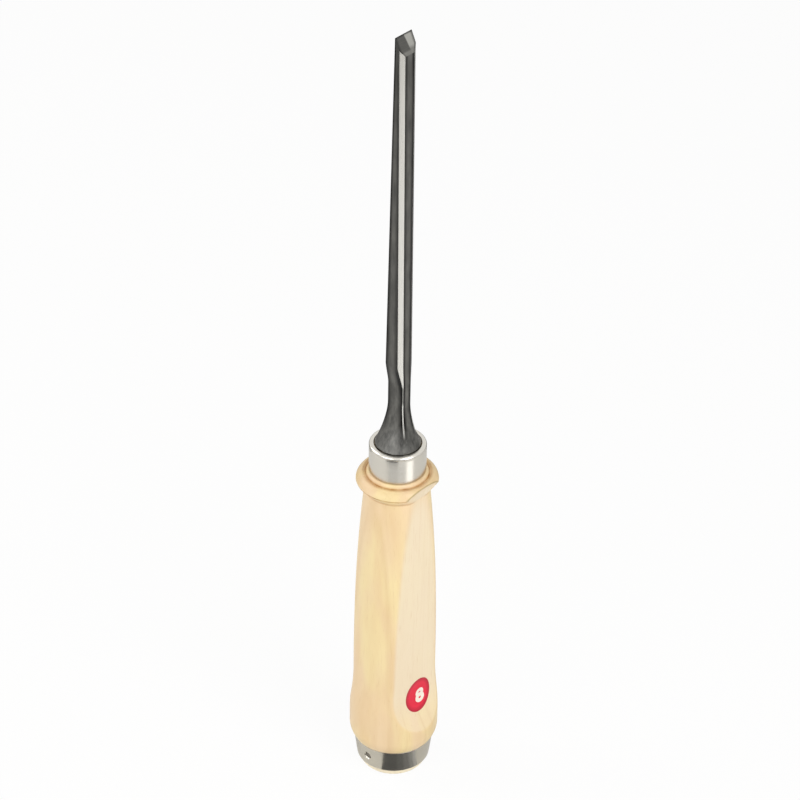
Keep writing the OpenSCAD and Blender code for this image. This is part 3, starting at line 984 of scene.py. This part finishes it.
def facetSteel():
    # edge facet ground square across: mid grey with cross lines, half of it honed paler
    own, edgeZ = bladeSet, bladeAt["edge"]
    material, tree, shader = startMaterial("crossGroundSteel", {"Metallic": 1.0})
    place = addNode(tree, "TexCoord", out="Object")
    height = addNode(tree, "SeparateXYZ", links={0: place}, out="Z")
    # wheel lines 0.3 mm apart, coarser than real ones to show
    lines = marksOfSize(tree, place, (9, 0.3, 0.3), {"Detail": 3.0, "Roughness": 0.6})
    colour = addNode(tree, "Mix", colourMix, twoTone(*own["facet"]), {0: lines})
    # honed beyond a slanting line from the edge to the facet's foot, and worn towards the foot
    (pointX, drop), (sideX, sideZ) = own["honedPoint"], own["honedSide"]
    start = (pointX * mm, 0, (edgeZ - drop) * mm)
    beyond = addNode(tree, "VectorMath", {"operation": "SUBTRACT"}, {1: start}, {0: place})
    beyond = addNode(tree, "VectorMath", {"operation": "DOT_PRODUCT"}, {1: (sideX, 0, sideZ)}, {0: beyond})
    honed = addNode(tree, "MapRange", softRange, between(0, own["honedFade"] * mm), {"Value": beyond})
    low, top = [(edgeZ - drop) * mm for drop in own["wornSpan"]]
    worn = addNode(tree, "MapRange", evenRange, between(low, top, own["wornShare"]), {"Value": height})
    honed = addNode(tree, "Math", {"operation": "MULTIPLY"}, links={0: honed, 1: worn})
    colour = addNode(tree, "Mix", colourMix, {7: linear(own["honed"])}, {0: honed, 6: colour})
    # painted highlight and painted shade along the facet's outline
    colour = paintFacetOutline(tree, place, colour)
    finishSurface(tree, shader, colour, lines, (0.25, 0.4), (0.3, 0.02))
    return material


def turnedSteel(name, darkHex, paleHex):
    # drawn steel tube, polished on the lathe: light warm grey with fine lines round it
    material, tree, shader = startMaterial(name, {"Metallic": 1.0})
    place = addNode(tree, "TexCoord", out="Object")
    # polishing lines 0.22 mm apart, coarser than real ones to show
    lines = marksOfSize(tree, place, (18, 18, 0.22), {"Detail": 3.0, "Roughness": 0.6})
    colour = addNode(tree, "Mix", colourMix, twoTone(darkHex, paleHex), {0: lines})
    finishSurface(tree, shader, colour, lines, (0.16, 0.3), (0.15, 0.02))
    return material


def wireNailSteel():
    # plain wire nail, filed head: dull grey
    material, tree, shader = startMaterial("wireNailSteel", {"Metallic": 1.0, "Roughness": 0.42})
    place = addNode(tree, "TexCoord", out="Object")
    grit = marksOfSize(tree, place, (0.4, 0.4, 0.4), {"Detail": 3.0})  # file marks
    colour = addNode(tree, "Mix", colourMix, twoTone(*bradSet["steel"]), {0: grit})
    finishSurface(tree, shader, colour, grit, relief=(0.3, 0.05))
    return material


def grooveVarnishAndShade(tree, place, axes):
    # how thick the varnish lies in and beside the turned grooves, with painted shade there and on the bead's
    # top, and darker wood at the hoop's upper edge
    own, at = handleSet, handleAt
    bead = own["beadRadius"]
    grooves = [  # radius, height, width and strength
        (gripRadius(at["taper"]), at["taper"], 0.7, 0.5),  # foot of the bead's taper
        (bead - 0.16, at["bead"], 0.5, 0.85),  # scored line
        (grooveRadius, at["groove"], 0.75, 0.95),  # groove behind the bead
        (grooveRadius + 0.7, at["groove"] + 0.25, 1.5, 0.55),  # and the wood beside it
        (bead - 1.2, at["bead"] + 2.6, 2.6, 0.16),  # top of the bead, painted shade
        (hoopHigh.x, hoopHigh.z, 0.7, 0.7),  # upper edge of the hoop
    ]
    across = addNode(tree, "CombineXYZ", links={0: axes["X"], 1: axes["Y"]})
    radius = addNode(tree, "VectorMath", {"operation": "LENGTH"}, links={0: across})
    spot = addNode(tree, "CombineXYZ", links={0: radius, 2: axes["Z"]})
    # varnish runs 3.5 mm long
    runs = marksOfSize(tree, place, (3.5, 3.5, 3.5), {"Detail": 3.0})
    runs = addNode(tree, "MapRange", evenRange, between(0.35, 0.6, 0.6), {"Value": runs})
    varnishAndShade = None
    for lineRadius, lineHeight, width, strength in grooves:
        line = (lineRadius * mm, 0, lineHeight * mm)
        away = addNode(tree, "VectorMath", {"operation": "DISTANCE"}, {1: line}, {0: spot})
        near = addNode(tree, "MapRange", softRange, between(width * mm, 0, 0, strength), {"Value": away})
        if varnishAndShade:
            near = addNode(tree, "Math", {"operation": "MAXIMUM"}, links={0: varnishAndShade, 1: near})
        varnishAndShade = near
    return addNode(tree, "Math", {"operation": "MULTIPLY"}, links={0: varnishAndShade, 1: runs})


def varnishedHornbeam():
    # hornbeam, turned and clear varnished: pale cream with a quiet grain, deeper in the turned grooves from
    # varnish and painted shade
    own = handleSet
    look = {"IOR": 1.5, "Specular IOR Level": 0.3, "Coat Weight": 0.25, "Coat Roughness": 0.22}
    material, tree, shader = startMaterial("varnishedHornbeam", look)
    place = addNode(tree, "TexCoord", out="Object")
    axes = addNode(tree, "SeparateXYZ", links={0: place}).node.outputs
    # colour drifts 14 mm wide between pinkish and golden wood, and 6 mm wide between pale and deep
    drift = marksOfSize(tree, place, (14, 14, 45), {"Detail": 3.0, "Distortion": 0.4})
    drift = addNode(tree, "MapRange", softRange, between(0.38, 0.62), {"Value": drift})
    wood = addNode(tree, "Mix", colourMix, twoTone(*own["wood"]), {0: drift})
    deep = marksOfSize(tree, place, (6, 6, 30), {"Detail": 2.0})
    deep = addNode(tree, "MapRange", evenRange, between(0.4, 0.7, 0, 0.5), {"Value": deep})
    # planed flats show paler wood than the turned faces
    planed = addNode(tree, "Attribute", {"attribute_name": "planed"}, out="Fac")
    planed = addNode(tree, "Math", {"operation": "MULTIPLY"}, {1: own["planedPale"]}, {0: planed})
    # growth rings 2.6 mm apart
    streaks = {"Detail": 4.0, "Roughness": 0.5, "Distortion": 0.15}
    rings = marksOfSize(tree, place, (2.6, 40, 220), streaks, (0, 0, 0.5))
    rings = addNode(tree, "MapRange", evenRange, between(0.5, 0.75, 0, 0.5), {"Value": rings})
    # fibres 0.35 mm wide, coarser than real ones to show
    fibres = marksOfSize(tree, place, (0.35, 0.35, 6), {"Detail": 2.0})
    grain = addNode(tree, "MapRange", evenRange, between(0.6, 0.8, 0, 0.35), {"Value": fibres})
    # the butt below the hoop is painted paler: painted light that lifts the shade by the floor
    span = between((hoopLow.z + own["buttLightEdge"]) * mm, hoopLow.z * mm, 0, own["buttLightShare"])
    buttLight = addNode(tree, "MapRange", evenRange, span, {"Value": axes["Z"]})
    # varnish lies thicker and more orange in the grooves, with painted shade there, and painted shade
    # darkens the flats' crease over the bead
    varnishAndShade = grooveVarnishAndShade(tree, place, axes)
    creaseShade = addNode(tree, "Attribute", {"attribute_name": "creaseShade"}, out="Fac")
    creaseShade = addNode(tree, "Math", {"operation": "MULTIPLY"}, {1: own["creaseShadeStrength"]}, {0: creaseShade})
    laid = {"deepWood": deep, "planedWood": planed, "ringWood": rings, "fibreWood": grain,
            "buttLightTone": buttLight, "pooledVarnishShade": varnishAndShade, "creaseShadeTone": creaseShade}
    for tint, share in laid.items():
        wood = addNode(tree, "Mix", colourMix, {7: linear(own[tint])}, {0: share, 6: wood})
    finishSurface(tree, shader, wood, fibres, (0.38, 0.5), (0.12, 0.05))
    return material


def pressedEdge(tree, place):
    # how near a point of the print is to the dot's edge
    own = dotSet
    reach = own["radius"] * mm
    middle = (own["middle"][0] * mm, 0, own["middle"][1] * mm)
    away = addNode(tree, "VectorMath", {"operation": "SUBTRACT"}, {1: middle}, {0: place})
    sides = [(1 / reach, 0, -own["lean"] / reach), (0, 0, 1 / (reach * own["tall"]))]
    along = {"operation": "DOT_PRODUCT"}
    across, up = [addNode(tree, "VectorMath", along, {1: side}, {0: away}) for side in sides]
    away = addNode(tree, "CombineXYZ", links={0: across, 1: up})
    away = addNode(tree, "VectorMath", {"operation": "LENGTH"}, links={0: away})
    span = between(*own["edgeSpan"], 0, own["edgeShare"])
    return addNode(tree, "MapRange", evenRange, span, {"Value": away})


def padPrint(name, thinHex, fullHex, edgeHex=None):
    # pad-printed ink under the varnish: even colour, a little thinner in places, deeper at a pressed edge
    material, tree, shader = startMaterial(name, {"Specular IOR Level": 0.3})
    place = addNode(tree, "TexCoord", out="Object")
    cover = marksOfSize(tree, place, (1.5, 1.5, 1.5), {"Detail": 4.0})  # thickness of the ink
    colour = addNode(tree, "Mix", colourMix, twoTone(thinHex, fullHex), {0: cover})
    if edgeHex:
        edge = pressedEdge(tree, place)
        colour = addNode(tree, "Mix", colourMix, {7: linear(edgeHex)}, {0: edge, 6: colour})
    finishSurface(tree, shader, colour, cover, (0.34, 0.46))
    return material


# Finishes and bodies

for finish in (forgedSteel(), groundSteel(), facetSteel()):
    blade.data.materials.append(finish)
smoothPiece(blade, bladeSet["smooth"])
handle.data.materials.append(varnishedHornbeam())
ferrule.data.materials.append(turnedSteel("polishedFerruleSteel", *ferruleSet["steel"]))
hoop.data.materials.append(turnedSteel("polishedHoopSteel", *hoopSet["steel"]))
brad.data.materials.append(wireNailSteel())
dot.data.materials.append(padPrint("redPadPrint", *dotSet["ink"], dotSet["edgeInk"]))
numeral.data.materials.append(padPrint("whitePadPrint", *dotSet["numeralInk"]))

for piece, node, slot in ((blade, "blade", "blade_steel"), (handle, "handle", "handle_wood"),
                          (ferrule, "front_ferrule", "ferrule_steel"), (hoop, "butt_hoop", "hoop_steel"),
                          (brad, "hoop_brad", "brad_steel")):
    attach(piece, "root")
    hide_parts(node)
for piece in (dot, numeral):
    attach(piece, "root")
print("finishes and bodies set")
